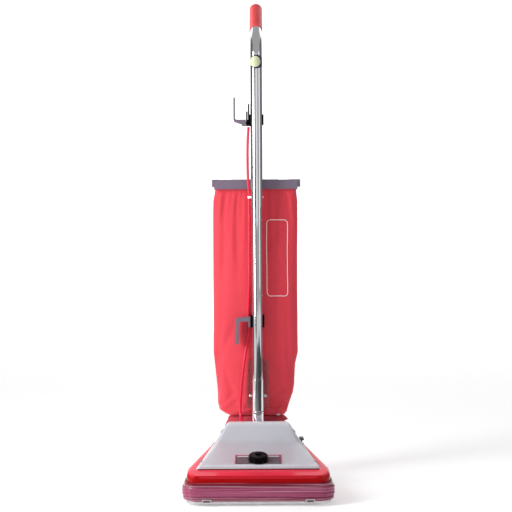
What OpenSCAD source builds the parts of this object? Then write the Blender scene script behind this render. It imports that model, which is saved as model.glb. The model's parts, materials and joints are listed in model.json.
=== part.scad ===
// Commercial upright vacuum cleaner with a chrome tube handle and a fabric outer bag.
// The front faces -Y, X is across the machine and Z is up. The floor is at Z = 0.
// Modules are drawn with the handle tube on Y = 0 and moved back by placed().

/* [Overall] */
// Front of the furniture guard to the end of the hand grip
overall_depth = 454; // [450:1:460]
// Front of the furniture guard back to the centre of the handle tube
front_reach = 295; // [293:1:297]

/* [Handle] */
// Height of the hinge that the handle tilts on
pivot_z = 75; // [74:1:76]
// Height of the step where the lower tube goes into the upper tube
tube_joint_z = 729; // [700:1:760]
// Height at which the upper tube starts to bend back
bend_z = 1120; // [1110:1:1130]
// Radius of the bend on the tube's centre line
bend_r = 90; // [80:1:100]
// Lean of the grip from upright, in degrees
grip_tilt = 50; // [45:1:55]
// Bare tube between the bend and the grip
grip_start = 30; // [25:1:35]
// Diameter of the lower tube
lower_tube_d = 28.4; // [28:0.1:28.6]
// Diameter of the upper tube
upper_tube_d = 31.8; // [31.6:0.1:32]
// Diameter of the vinyl grip
grip_d = 35; // [34:0.5:37]

/* [Base] */
// Half width of the red nozzle housing at the front
nozzle_half = 177; // [175:1:178]
// Half width of the red nozzle housing at the back
rear_half = 122; // [120:1:126]
// Underside of the steel bottom plate
plate_z = 6; // [5:0.5:7]
// Height of the motor and fan axis
motor_z = 68; // [67:0.5:69]
// Diameter of the height knob
knob_d = 47.5; // [44:0.5:48]
// Number of flutes round the height knob
knob_flutes = 10; // [8:1:12]

/* [Wheels and brush] */
// Radius of the front wheels
front_wheel_r = 14; // [13:0.5:14]
// Radius of the rear wheels
rear_wheel_r = 30; // [29:0.5:31]
// Radius of the brush roll's tube
roll_r = 20; // [18:0.5:21]
// Radius to the tips of the bristles
bristle_r = 27; // [25:0.5:27]

/* [Bag] */
// Bottom of the bag, where it is gathered above the boot
bag_bottom_z = 172; // [170:1:176]
// Lower edge of the grey cap on the bag
cap_z = 779; // [775:1:785]
// Height of the cap
cap_h = 26; // [24:1:28]

/* [Hidden] */
$fn = 64;
hull_fn = 32;

shift_y = front_reach - overall_depth / 2;
gap = 0.3;      // free space between pieces that only lie beside each other
touch = 0.05;   // clearance between pieces that are fitted together
run = 0.05;     // running clearance of a wheel or shaft

red = "#d3202c";
silver = "#c9c9d0";
chrome_c = "#e6e6ea";
steel = "#b9bbc0";
black = "#26262a";
grey = "#75707a";

// Handle
lower_r = lower_tube_d / 2;
upper_r = upper_tube_d / 2;
tube_wall = 1.5;
drawn_down = 0.3;
grip_r = grip_d / 2;
grip_edge = 6;
grip_reach = overall_depth - front_reach;
grip_end = (grip_reach - bend_r * (1 - cos(grip_tilt)) - (grip_r - grip_edge) * cos(grip_tilt)
    - grip_edge) / sin(grip_tilt) + grip_edge;
socket_r = lower_r + 1.2;
socket_top = 273;
socket_bottom = 163;
spigot_r = 11;
bail_x = 95;         // centre of each arm
bail_t = 8;          // thickness of each arm
bail_w = 18;         // width of each arm, front to back
bail_bar_z = 140;    // centre of the bar across the top
bail_bar_h = 14;
eye_r = 12;
pin_r = 5;

// Base
house_front = -(front_reach - 8);
corner_r = 30;
corner_x = nozzle_half - corner_r;
corner_y = house_front + corner_r;
taper_y = -225;
house_back = -16;
taper = (nozzle_half - rear_half) / (house_back - taper_y);
taper_angle = atan(taper);
wall = 4;
house_bottom = 12;
chamber_wall_y = -216;
chamber_wall_bottom = 12.5;
hood_front = -247;
hood_wall = 2.5;
panel_y = -243;      // front edge of the hood's sloping panel
panel_z = 92;
crease_y = -115;
crease_z = 123;
panel_slope = atan((crease_z - panel_z) / (crease_y - panel_y));
roll_y = -250;
roll_z = 30;
roll_half = 148;
groove_r = 12.4;
groove_half = 9;
shaft_r = 5;
pulley_r = 6;
pulley_y = -232;
belt_r = 2.5;
fan_y = -150;
fan_depth = 28;
chamber_r = 42;
motor_r = 47;
motor_front = -118;
motor_back = -36;
knob_y = -220;
knob_h = 16;
carriage_y = -120;
carriage_z = 24;
front_axle_y = -190;
front_axle_r = 3;
rear_axle_y = 35;
rear_axle_r = 4;
duct_x = -66;
duct_z = 86;
duct_r = 20;
duct_bend = 26;
duct_back = -6;
bracket_x = 104;
pedal_y = 24;
pedal_z = 84;
latch_x = 110;
latch_y = -209.5;
stud_r = 2.5;

// Hooks and switch
upper_hook_z = 953;
hook_y = 3;
lower_hook_z = 411;
label_z = 1113;
switch_z = 1069;
switch_y = 34;

// Lead from the handle to the motor: points on its centre line
lead_r = 3.5;
lead_points = [[-21, 4, 942], [-23, 5, 915], [-24, 6, 880], [-24, 7, 840], [-23, 8, 800],
    [-21, 8, 770], [-20.5, 8, 740], [-20.5, 9, 690], [-21, 10, 620], [-21.5, 11, 550],
    [-22.5, 13, 500], [-24, 17, 460], [-24, 18, 425], [-24, 16, 395], [-28, 13, 365],
    [-33, 10, 340], [-37, 8, 310], [-41, 7, 280], [-44, 6, 245], [-46, 5, 215],
    [-47, 3, 192], [-46, -3, 177], [-44, -13, 166], [-43, -21, 160]];
gland_place = lead_points[len(lead_points) - 1];

// Lean of the hood's flanks from upright, in degrees
flank_lean = 28;

// ---------------------------------------------------------------- helpers
module placed() translate([0, shift_y, 0]) children();

function arc(c, r, a0, a1, n) = [for (i = [0:n]) let (a = a0 + (a1 - a0) * i / n)
    c + r * [cos(a), sin(a)]];
function unit(v) = v / norm(v);

// Value at x on a broken line through points [x, value]
function along(points, x) =
    x <= points[0].x ? points[0].y :
    x >= points[len(points) - 1].x ? points[len(points) - 1].y :
    let (i = [for (k = [0:len(points) - 2]) if (x <= points[k + 1].x) k][0],
        t = (x - points[i].x) / (points[i + 1].x - points[i].x))
    points[i].y * (1 - t) + points[i + 1].y * t;

// A closed skin over rings of points; every ring has the same number of points
module loft(rings) {
    n = len(rings[0]);
    m = len(rings);
    points = [for (ring = rings) each ring];
    sides = [for (i = [0:m - 2], k = [0:n - 1])
        let (a = i * n + k, b = i * n + (k + 1) % n)
        each [[a, b, b + n], [a, b + n, a + n]]];
    first = [for (k = [1:n - 2]) [0, k + 1, k]];
    last = [for (k = [1:n - 2]) [(m - 1) * n, (m - 1) * n + k, (m - 1) * n + k + 1]];
    polyhedron(points, concat(sides, first, last));
}

// A closed skin over rings of points whose last ring meets the first
module ring_loop(rings) {
    n = len(rings[0]);
    m = len(rings);
    polyhedron([for (ring = rings) each ring],
        [for (i = [0:m - 1], k = [0:n - 1]) let (j = (i + 1) % m, l = (k + 1) % n)
            each [[i * n + k, i * n + l, j * n + l], [i * n + k, j * n + l, j * n + k]]]);
}

// Round rings along a path, for a cord or a belt; facing gives each ring's sideways direction
function tube_rings(path, facing, r, sides, closed) = [for (i = [0:len(path) - 1])
    let (n = len(path),
        before = closed ? path[(i + n - 1) % n] : path[max(i - 1, 0)],
        after = closed ? path[(i + 1) % n] : path[min(i + 1, n - 1)],
        t = unit(after - before),
        u = unit(cross(t, facing[i])),
        v = cross(u, t))
    [for (k = [0:sides - 1]) path[i] + r * (cos(360 * k / sides) * u + sin(360 * k / sides) * v)]];

// A cylinder along X between two places
module rod_x(x0, x1, y, z, r) translate([x0, y, z]) rotate([0, 90, 0]) cylinder(h = x1 - x0, r = r);

// A cylinder along Y between two places
module rod_y(x, y0, y1, z, r) translate([x, y0, z]) rotate([-90, 0, 0]) cylinder(h = y1 - y0, r = r);

module box(lo, hi) translate(lo) cube(hi - lo);

module both_sides() {
    children();
    mirror([1, 0, 0]) children();
}

// ---------------------------------------------------------------- base: casings
// Section across the base at y: straight sides, rounded top corners
function section(y, bottom_half, top_half, bottom, top, r) = [for (p = concat(
    [[-bottom_half, bottom], [bottom_half, bottom]],
    arc([top_half - r, top - r], r, 0, 90, 6),
    arc([r - top_half, top - r], r, 90, 180, 6))) [p.x, y, p.y]];

function house_half(y) = y < corner_y ? corner_x + sqrt(pow(corner_r, 2) - pow(corner_y - y, 2)) :
    y < taper_y ? nozzle_half : nozzle_half - taper * (y - taper_y);
function seam(y) = along([[house_front, 66], [house_front + 4, 73], [hood_front, 80.6],
    [-30, 111], [house_back, 113]], y);
function hood_top(y) = along([[hood_front, 86], [panel_y, panel_z], [crease_y, crease_z],
    [-106, 129], [-80, 168], [-72, 172.5], [-34, 167], [-22, 160], [-14, 146]], y);
function hood_top_half(y) = along([[hood_front, 147], [panel_y, 149], [crease_y, 113],
    [-80, 86], [-72, 83], [-14, 80]], y);
function hood_bottom_half(y) = along([[hood_front, 150], [panel_y, 152], [-14, 111]], y);

house_stations = [house_front, house_front + 1, house_front + 4, house_front + 10,
    house_front + 18, corner_y, hood_front, taper_y, -150, -80, -30, house_back];
hood_stations = [hood_front, panel_y, -190, crease_y, -106, -93, -80, -72, -34, -22, -14];

module house_solid(inset, drop) {
    loft([for (y = house_stations) let (
            yy = max(house_front + inset, min(house_back - inset, y)),
            half = house_half(y) - inset)
        section(yy, half, half - 3, house_bottom - drop, seam(y) - inset, 12)]);
}

module nozzle_housing() {
    color(red) placed() difference() {
        union() {
            difference() {
                house_solid(0, 0);
                house_solid(wall, 5);
            }
            intersection() {
                house_solid(1, 0);
                box([-nozzle_half, chamber_wall_y, chamber_wall_bottom],
                    [nozzle_half, chamber_wall_y + wall, 100]);
            }
            both_sides() translate([latch_x, latch_y, chamber_wall_bottom]) cylinder(h = 28, r = 5);
        }
        both_sides() {
            // Bores for the latches' studs, and slots for the arms of the rear axle
            translate([latch_x, latch_y, 0]) cylinder(h = 31, r = stud_r + touch);
            box([54 - gap, house_back - wall - 1, 0], [60 + gap, house_back + 1, 44 + gap]);
        }
        translate([0, 0, 60]) linear_extrude(70) polygon([
            [-hood_bottom_half(-208) + 12, -208], [hood_bottom_half(-208) - 12, -208],
            [hood_bottom_half(-26) - 12, -26], [12 - hood_bottom_half(-26), -26]]);
        rod_y(0, chamber_wall_y - 1, chamber_wall_y + wall + 1, motor_z, 9);
        // Room for the belt under the top
        rod_y(0, pulley_y - 6.5, pulley_y + 6.5, motor_z, 13);
        rod_y(duct_x, house_back - wall - 1, house_back + 1, duct_z, duct_r + gap);
    }
}

module hood_solid(inset, drop) {
    loft([for (y = hood_stations) let (yy = max(hood_front + inset, min(-14 - inset, y)))
        section(yy, hood_bottom_half(y) - inset, hood_top_half(y) - inset,
            seam(y) + gap - drop, hood_top(y) - inset, y < panel_y ? 3 : 10)]);
}

module hood() {
    color(silver) placed() difference() {
        hood_solid(0, 0);
        hood_solid(hood_wall, 6);
        translate([0, knob_y, hood_top(knob_y)]) rotate([panel_slope, 0, 0])
            translate([0, 0, -6]) cylinder(h = 10, r = shaft_r + 1);
        // Cooling slots across the back
        for (z = [118:7:139]) box([-40, -18, z], [60, -12, z + 3.5]);
        // Hole for the lead's gland
        translate(gland_place) rotate([-50, 0, 0])
            cylinder(h = 20, r = 6.5, center = true);
        at_hood_screws() translate([0, 0, -8]) cylinder(h = 16, r = 2.2);
    }
}

// Four places low on the hood's flanks, square to their slope
module at_hood_screws() for (s = [-1, 1], y = [-200, -60])
    translate([s * (hood_bottom_half(y) - 3.2), y, seam(y) + 6]) rotate([0, s * (90 - flank_lean), 0])
        children();

module hood_screws() {
    color(steel) placed() at_hood_screws() {
        translate([0, 0, 1]) cylinder(h = 1.2, r = 3.4);
        translate([0, 0, -4.5]) cylinder(h = 6, r = 2.1);
    }
}

module height_decal() {
    color("#55505a") placed() difference() {
        translate([0, knob_y, hood_top(knob_y)]) rotate([panel_slope, 0, 0])
            box([-58, -19, touch], [58, 34, 0.6]);
        translate([0, knob_y, hood_top(knob_y)]) rotate([panel_slope, 0, 0])
            translate([0, 0, -5]) cylinder(h = 10, r = shaft_r + 1);
    }
}

// Outline of the clear guard: u is the distance out from the corner's centre
guard_outline = [[corner_r + gap, 14], [34.5, 14], [36, 16], [36, 21], [34.8, 22.5], [37, 24],
    [38, 27], [38, 31], [36.9, 32.2], [38, 33.4], [38, 38], [36.9, 39.2], [38, 40.4], [38, 44],
    [36, 47], [33, 49], [32.5, 56], [corner_r + gap, 56]];
guard_side_l = 70;

// Places along the guard's run from the right back to the left: centre and heading of its profile
guard_half_run = concat(
    [[corner_x - guard_side_l * sin(taper_angle), taper_y + guard_side_l * cos(taper_angle), taper_angle],
        [corner_x, taper_y, taper_angle], [corner_x, taper_y, 0]],
    [for (a = [0:-11.25:-90]) [corner_x, corner_y, a]]);
guard_run = concat(guard_half_run,
    [for (i = [len(guard_half_run) - 1:-1:0]) let (g = guard_half_run[i]) [-g[0], g[1], 180 - g[2]]]);

module furniture_guard() {
    color("#d98aa8", 0.6) placed() loft([for (g = guard_run)
        [for (p = guard_outline) [g[0] + p.x * cos(g[2]), g[1] + p.x * sin(g[2]), p.y]]]);
}

module plate_outline(grow) {
    hull() for (s = [-1, 1]) {
        translate([s * (corner_x - 4), corner_y + 3]) circle(r = corner_r + 3 + grow, $fn = hull_fn);
        translate([s * (nozzle_half - 12), -232]) square([14, 16], center = true);
    }
}

module bottom_plate() {
    tab_x = 124;
    tab_y = house_front - 6.3;
    color(steel) placed() {
        difference() {
            union() {
                translate([0, 0, plate_z]) linear_extrude(2) plate_outline(0);
                translate([0, 0, plate_z]) linear_extrude(5.5) difference() {
                    plate_outline(0);
                    plate_outline(-1.5);
                    translate([-200, -230]) square([400, 30]);
                }
            }
            // Suction slot, with its cross bars left standing
            for (i = [-2:1]) box([i * 74 + 4, -272, 0], [i * 74 + 70, -228, 20]);
            box([-200, -226, 0], [200, -200, 20]);
        }
        // Stepped strip along the back, which the latches hold
        box([-150, -227.5, plate_z + 1], [150, -226, plate_z + 6]);
        box([-150, -227, plate_z + 4], [150, -214, plate_z + 6]);
        for (s = [-1, 1]) {
            translate([s * tab_x, tab_y, 0]) rotate([90, 0, 0]) difference() {
                linear_extrude(1.4) polygon([[-14, 10], [-10, 18], [10, 18], [14, 10]]);
                translate([0, 0, -0.5]) linear_extrude(3)
                    polygon([[-10, 10.5], [-7.5, 15.8], [7.5, 15.8], [10, 10.5]]);
            }
            box([s * tab_x - 14, tab_y - 1.4, 9.5], [s * tab_x + 14, house_front + 1, 11]);
        }
    }
}

// Turn button under the plate's back strip
module plate_latch(side) {
    color(steel) placed() translate([side * latch_x, latch_y, plate_z + 1.4]) difference() {
        linear_extrude(2.3) hull() {
            circle(r = 4.4, $fn = hull_fn);
            translate([0, -9]) square([8, 8], center = true);
        }
        translate([0, 0, -1]) cylinder(h = 8, r = stud_r + run);
    }
}

module plate_latch_left() plate_latch(-1);
module plate_latch_right() plate_latch(1);

module latch_studs() {
    color(steel) placed() for (s = [-1, 1]) translate([s * latch_x, latch_y, 0]) {
        translate([0, 0, plate_z + 1]) cylinder(h = 22, r = stud_r);
        translate([0, 0, plate_z + 0.2]) cylinder(h = 0.9, r = 4.2);
    }
}

// ---------------------------------------------------------------- base: brush, belt, fan and motor
module brush_roll() {
    color("#8a6a4a") placed() difference() {
        union() {
            rod_x(-roll_half, -groove_half, roll_y, roll_z, roll_r);
            rod_x(groove_half, roll_half, roll_y, roll_z, roll_r);
            rod_x(-groove_half - 1, groove_half + 1, roll_y, roll_z, groove_r);
        }
        for (s = [-1, 1]) rod_x(s * roll_half - 14, s * roll_half + 14, roll_y, roll_z, shaft_r + run);
        for (i = [0:3]) bristle_cuts(i);
    }
}

// Bristle strips stand in slots, stepped round the roll, with a break at each cross bar of the plate
strip_starts = [11, 40, 79, 108];
strip_l = 28;

module strip_boxes(i, t, inner, outer) {
    for (k = [0:len(strip_starts) - 1], s = [-1, 1])
        translate([s * (strip_starts[k] + strip_l / 2), roll_y, roll_z])
            rotate([90 * i + 9 * k, 0, 0])
                translate([0, 0, (inner + outer) / 2]) cube([strip_l, t, outer - inner], center = true);
}

module bristle_cuts(i) strip_boxes(i, 5, roll_r - 4, roll_r + 4);

module bristle_strips() color(black) placed() for (i = [0:3]) strip_boxes(i, 4.6, roll_r - 3.8, bristle_r);

module brush_end_caps() {
    color(black) placed() both_sides() {
        rod_x(roll_half - 12, roll_half + 6, roll_y, roll_z, shaft_r);
        rod_x(roll_half + 1, roll_half + 4, roll_y, roll_z, 18);
        box([roll_half + 4, roll_y - 12, 12], [roll_half + 14, roll_y + 12, 48]);
    }
}

// Round belt: over the motor pulley, then a quarter twist down to the groove in the roll
belt_top_r = pulley_r + belt_r + 0.9;
belt_low_r = groove_r + belt_r + 1;
belt_lean = atan2(pulley_y - roll_y, motor_z - roll_z);
belt_path = concat(
    [for (a = [180:-22.5:0]) [belt_top_r * cos(a), pulley_y, motor_z + belt_top_r * sin(a)]],
    [for (a = [180:20:360]) let (b = a - belt_lean)
        [0, roll_y + belt_low_r * cos(b), roll_z + belt_low_r * sin(b)]]);
belt_middle = [0, (pulley_y + roll_y) / 2, (motor_z + roll_z) / 2];

module belt() {
    facing = [for (p = belt_path) unit(p - belt_middle)];
    color(black) placed() ring_loop(tube_rings(belt_path, facing, belt_r, 8, true));
}

module volute(inset, front, back) hull() {
    rod_y(0, front, back, motor_z, chamber_r - inset);
    rod_y(duct_x, front, back, duct_z, duct_r + 2 - inset);
}

module fan_chamber() {
    color("#8d8f94") placed() difference() {
        volute(0, fan_y, fan_y + fan_depth);
        volute(3, fan_y + 3, fan_y + fan_depth - 3);
        rod_y(0, fan_y - 1, fan_y + 4, motor_z, 18);
        rod_y(0, fan_y + 4, fan_y + fan_depth + 1, motor_z, 8);
        rod_y(duct_x, fan_y + fan_depth - 4, fan_y + fan_depth + 1, duct_z, duct_r - 2);
    }
}

module fan() {
    blades = 8;
    color("#9aa0a6") placed() difference() {
        union() {
            rod_y(0, fan_y + 6, fan_y + 22, motor_z, 11);
            rod_y(0, fan_y + 19, fan_y + 21, motor_z, 36);
            for (i = [0:blades - 1]) translate([0, 0, motor_z]) rotate([0, 360 * i / blades, 0])
                box([3, fan_y + 7, 8], [5, fan_y + 19.5, 34]);
        }
        rod_y(0, fan_y, fan_y + 30, motor_z, shaft_r);
    }
}

module motor_case() {
    color("#44464b") placed() difference() {
        rod_y(0, motor_front, motor_back, motor_z, motor_r);
        rod_y(0, motor_front + 6, motor_back - 6, motor_z, motor_r - 4);
        rod_y(0, motor_front - 1, motor_back + 1, motor_z, 11 + touch);
        for (a = [0:30:330]) translate([0, motor_back - 7, motor_z]) rotate([-90, a, 0])
            translate([28, 0, 0]) cylinder(h = 8, r = 4);
    }
}

module motor_stator() color("#7b5a3a") placed() difference() {
    rod_y(0, -100, -62, motor_z, motor_r - 4 - touch);
    rod_y(0, -101, -61, motor_z, 29.5);
}

module motor_bearings() color(steel) placed() for (y = [motor_front, motor_back - 6]) difference() {
    rod_y(0, y, y + 6, motor_z, 11);
    rod_y(0, y - 1, y + 7, motor_z, shaft_r + run);
}

module motor_shaft() color(steel) placed() {
    rod_y(0, -236, motor_back + 6, motor_z, shaft_r);
    rod_y(0, pulley_y - 5, pulley_y + 5, motor_z, pulley_r);
}

module armature() color("#a8682c") placed() difference() {
    union() {
        rod_y(0, -98, -64, motor_z, 28);
        rod_y(0, -58, -46, motor_z, 14);
    }
    rod_y(0, -99, -45, motor_z, shaft_r);
}

module carbon_brushes() color(black) placed() both_sides()
    box([14 + gap, -56, motor_z - 3.5], [motor_r - 4.5, -48, motor_z + 3.5]);

module base_pan() {
    color("#3a3a3e") placed() difference() {
        union() {
            box([-104, motor_front + 10, 14], [104, house_back - wall - gap, 17]);
            both_sides() {
                box([54, motor_front - 12, 14], [60, motor_front + 20, 32]);
                box([54, -60, 14], [60, rear_axle_y + 9, 44]);
            }
            // Cradle under the motor
            for (y = [-106, -50]) box([-30, y, 16], [30, y + 8, 40]);
        }
        rod_y(0, motor_front - 1, motor_back + 1, motor_z, motor_r + touch);
        rod_x(-70, 70, carriage_y, carriage_z, 4);
        rod_x(-70, 70, rear_axle_y, rear_wheel_r, rear_axle_r);
    }
}

module exhaust_duct() color(black) placed() {
    difference() {
        rod_y(duct_x, fan_y + fan_depth + touch, duct_back, duct_z, duct_r);
        rod_y(duct_x, fan_y, duct_back + 1, duct_z, duct_r - 2);
    }
    translate([duct_x, duct_back, duct_z + duct_bend]) rotate([90, 0, 90])
        rotate_extrude(angle = 90, start = -90) translate([duct_bend, 0]) difference() {
            circle(r = duct_r);
            circle(r = duct_r - 2);
        }
}

// ---------------------------------------------------------------- base: wheels, knob and pedal
module knob_frame() placed() translate([0, knob_y, hood_top(knob_y)]) rotate([panel_slope, 0, 0]) children();

module height_knob() {
    r = knob_d / 2;
    color(black) knob_frame() {
        difference() {
            union() {
                translate([0, 0, 0.9]) cylinder(h = knob_h - 2.4, r = r - 1);
                translate([0, 0, knob_h - 1.5]) cylinder(h = 1.5, r1 = r - 1, r2 = r - 4);
                for (i = [0:knob_flutes - 1]) rotate(360 * i / knob_flutes)
                    translate([r - 5, 0, 0.9]) cylinder(h = knob_h - 3, r = 5);
            }
            translate([0, 0, knob_h - 4]) cylinder(h = 6, r = 8.5);
        }
        translate([0, 0, -8]) cylinder(h = 10, r = shaft_r);
        translate([0, 0, -8.6]) cylinder(h = 4, r = 7.5);
    }
}

module wheel_carriage() {
    color(steel) placed() difference() {
        union() {
            both_sides() {
                hull() {
                    rod_x(46, 52, carriage_y, carriage_z, 8);
                    rod_x(46, 52, front_axle_y, front_wheel_r, 8);
                }
                box([46, -203, 14], [52, -188, 19]);
            }
            box([-52, -203, 14], [52, -198, 19]);
            // Lever that reaches up beside the motor shaft
            box([14, -203, 14], [22, -198, 60]);
        }
        rod_x(-70, 70, carriage_y, carriage_z, 4 + run);
        rod_x(-70, 70, front_axle_y, front_wheel_r, front_axle_r);
    }
}

module carriage_pivot() color(steel) placed() both_sides() rod_x(45, 62, carriage_y, carriage_z, 4);

module front_axle() color(steel) placed() rod_x(-76, 76, front_axle_y, front_wheel_r, front_axle_r);

module wheel(x0, x1, y, r, bore, hub) placed() difference() {
    union() {
        rod_x(x0 + 1.5, x1 - 1.5, y, r, r);
        rod_x(x0, x1, y, r, hub);
    }
    rod_x(x0 - 1, x1 + 1, y, r, bore + run);
}

module front_wheel_left() color(black) wheel(-73, -57, front_axle_y, front_wheel_r, front_axle_r, 8);
module front_wheel_right() color(black) wheel(57, 73, front_axle_y, front_wheel_r, front_axle_r, 8);

module rear_axle() color(steel) placed() {
    rod_x(-88, 88, rear_axle_y, rear_wheel_r, rear_axle_r);
    both_sides() rod_x(84.5, 86.5, rear_axle_y, rear_wheel_r, 7);
}

module rear_wheel_left() color(black) wheel(-84, -62, rear_axle_y, rear_wheel_r, rear_axle_r, 12);
module rear_wheel_right() color(black) wheel(62, 84, rear_axle_y, rear_wheel_r, rear_axle_r, 12);

module bail_brackets() {
    color("#3a3a3e") placed() difference() {
        both_sides() {
            hull() {
                rod_x(bracket_x - 3, bracket_x + 3, 0, pivot_z, 13);
                box([bracket_x - 3, house_back + touch, pivot_z - 20], [bracket_x + 3, house_back + 3, pivot_z + 20]);
            }
            box([bracket_x + 2, -8, pivot_z - 3], [bracket_x + 8, pedal_y + 8, pedal_z - 4]);
            rod_x(bracket_x - 3, bracket_x + 8, pedal_y, pedal_z, 7);
        }
        rod_x(-120, 120, 0, pivot_z, pin_r);
        rod_x(-120, 120, pedal_y, pedal_z, 3);
    }
}

module bail_pins() color(steel) placed() both_sides() {
    rod_x(bail_x - 7, bracket_x + 10, 0, pivot_z, pin_r);
    rod_x(bracket_x + 8 + gap, bracket_x + 11, 0, pivot_z, 9);
}

module pedal_pin() color(steel) placed() rod_x(bracket_x - 3, bracket_x + 20, pedal_y, pedal_z, 3);

module release_pedal() {
    x0 = bracket_x + 8.4;
    color("#3c3a40") placed() difference() {
        union() {
            hull() {
                rod_x(x0, x0 + 5, pedal_y, pedal_z, 7);
                box([x0, pedal_y - 18, 108], [x0 + 5, pedal_y - 4, 112]);
            }
            hull() {
                box([bracket_x + 4, pedal_y - 22, 110.5], [bracket_x + 18, pedal_y + 4, 112]);
                box([bracket_x + 6, pedal_y - 20, 117], [bracket_x + 16, pedal_y + 2, 118.5]);
            }
        }
        rod_x(x0 - 1, x0 + 6, pedal_y, pedal_z, 3 + run);
    }
}

module lead_gland() color(red) placed() translate(gland_place) rotate([-50, 0, 0]) difference() {
    union() {
        translate([0, 0, -7]) cylinder(h = 16, r = 6.4);
        cylinder(h = 3, r = 8.5);
    }
    translate([0, 0, -8]) cylinder(h = 20, r = lead_r + 1);
}

// ---------------------------------------------------------------- handle
module handle_bail() {
    color("#8b8d93") placed() difference() {
        union() {
            both_sides() {
                box([bail_x - bail_t / 2, -bail_w / 2, pivot_z], [bail_x + bail_t / 2, bail_w / 2, bail_bar_z]);
                rod_x(bail_x - bail_t / 2, bail_x + bail_t / 2, 0, pivot_z, eye_r);
            }
            box([-bail_x - bail_t / 2, -bail_w / 2, bail_bar_z - bail_bar_h / 2],
                [bail_x + bail_t / 2, bail_w / 2, bail_bar_z + bail_bar_h / 2]);
            translate([0, 0, bail_bar_z]) cylinder(h = 22, r = 14);
            translate([0, 0, bail_bar_z]) cylinder(h = 56, r = spigot_r);
        }
        rod_x(-120, 120, 0, pivot_z, pin_r + run);
        // Chamfered top corners of the fork
        both_sides() translate([bail_x + bail_t / 2, 0, bail_bar_z + bail_bar_h / 2])
            rotate([0, 45, 0]) cube([16, 40, 16], center = true);
    }
}

module handle_socket() {
    color(chrome_c) placed() difference() {
        union() {
            translate([0, 0, socket_bottom]) cylinder(h = socket_top - socket_bottom, r = socket_r);
            translate([0, 0, 184]) rotate_extrude() polygon([[10, 0], [socket_r, 0], [socket_r + 1.2, 2],
                [socket_r + 1.2, 4], [socket_r, 6], [10, 6]]);
            translate([0, 0, socket_top - 3]) cylinder(h = 3, r = socket_r + 0.8);
            box([-19.5, 13, 224.5], [19.5, 16.3, 231.5]);
            both_sides() rod_y(19.5, 13, 16.3, 228, 5);
        }
        translate([0, 0, socket_bottom - 1]) cylinder(h = 40, r = spigot_r + touch);
        translate([0, 0, socket_bottom + 35]) cylinder(h = 100, r = lower_r + touch);
        both_sides() rod_y(19.5, 10, 18, 228, 2 + touch);
    }
}

module socket_screws() color(chrome_c) placed() both_sides() {
    rod_y(19.5, 12.9, 21, 228, 2);
    rod_y(19.5, 10, 12.95, 228, 4);
    rod_y(19.5, 18.15, 21, 228, 3.5);
}

module guard_sheet() color("#e8e8f0", 0.35) placed() difference() {
    translate([0, 18.1, 0]) rotate([90, 0, 0]) linear_extrude(1.5) polygon(concat(
        [[-32, 191], [30, 191]], arc([20, 314], 10, 0, 90, 5), arc([-16, 314], 10, 90, 180, 5)));
    both_sides() rod_y(19.5, 10, 20, 228, 2 + touch);
}

module lower_tube() color(chrome_c) placed() difference() {
    translate([0, 0, 199]) cylinder(h = tube_joint_z + 45 - 199, r = lower_r);
    translate([0, 0, 198]) cylinder(h = tube_joint_z + 48 - 198, r = lower_r - tube_wall);
}

module grip_frame() translate([0, bend_r * (1 - cos(grip_tilt)), bend_z + bend_r * sin(grip_tilt)])
    rotate([-grip_tilt, 0, 0]) children();

// A tube along Z
module pipe(z0, z1, outer, inner) difference() {
    translate([0, 0, z0]) cylinder(h = z1 - z0, r = outer);
    translate([0, 0, z0 - 1]) cylinder(h = z1 - z0 + 2, r = inner);
}

module upper_tube() color(chrome_c) placed() {
    bore = upper_r - tube_wall;
    difference() {
        pipe(tube_joint_z, bend_z, upper_r, bore);
        // Way out for the lead, under the upper hook
        rod_x(-upper_r - 2, -upper_r / 2, hook_y, 944, lead_r + 0.7);
    }
    translate([0, bend_r, bend_z]) rotate([90, 0, -90]) rotate_extrude(angle = grip_tilt)
        translate([bend_r, 0]) difference() {
            circle(r = upper_r);
            circle(r = bore);
        }
    // End drawn down a little, so that the grip pushes on
    grip_frame() pipe(0, grip_end - 8, upper_r - drawn_down, bore + drawn_down);
}

module hand_grip() color("#e33038") placed() grip_frame() rotate_extrude() polygon(concat(
    [[0, grip_end - 7], [upper_r + touch, grip_end - 7], [upper_r + touch, grip_start],
        [grip_r - 1, grip_start], [grip_r, grip_start + 1]],
    arc([grip_r - grip_edge, grip_end - grip_edge], grip_edge, 0, 90, 8), [[0, grip_end]]));

module round_label() color("#dfe6b0") placed() intersection() {
    difference() {
        translate([0, 0, label_z - 20]) cylinder(h = 40, r = upper_r + 0.45);
        translate([0, 0, label_z - 21]) cylinder(h = 42, r = upper_r + touch);
    }
    rod_y(-1, -30, -3, label_z, 18.5);
}

module switch_box() color(black) placed() {
    rod_x(-9, 9, switch_y - 2, switch_z, 2);
    difference() {
        union() {
            box([-13, 6, switch_z - 29], [13, switch_y, switch_z + 29]);
            translate([0, 24, switch_z - 41]) cylinder(h = 14, r = 8);
        }
        translate([0, 0, switch_z - 50]) cylinder(h = 100, r = upper_r + touch);
        box([-8, switch_y - 10, switch_z - 14], [8, switch_y + 1, switch_z + 14]);
        translate([0, 24, switch_z - 42]) cylinder(h = 20, r = 5.5);
    }
}

module switch_rocker() color("#c03038") placed() difference() {
    translate([-7, switch_y - 2, switch_z]) rotate([8, 0, 0]) rotate([90, 0, 90]) linear_extrude(14)
        polygon([[-4, 0], [-2, -11], [4, -12.5], [2.6, 0], [4, 12.5], [-2, 11]]);
    rod_x(-12, 12, switch_y - 2, switch_z, 2 + run);
}

// Bush where the mains cord goes in
module mains_gland() color(black) placed() translate([0, 24, switch_z - 46]) difference() {
    union() {
        translate([0, 0, 4]) cylinder(h = 16, r = 5.5 - touch);
        translate([0, 0, 1]) cylinder(h = 4, r = 7.5);
    }
    translate([0, 0, -1]) cylinder(h = 24, r = 3.6);
}

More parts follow.
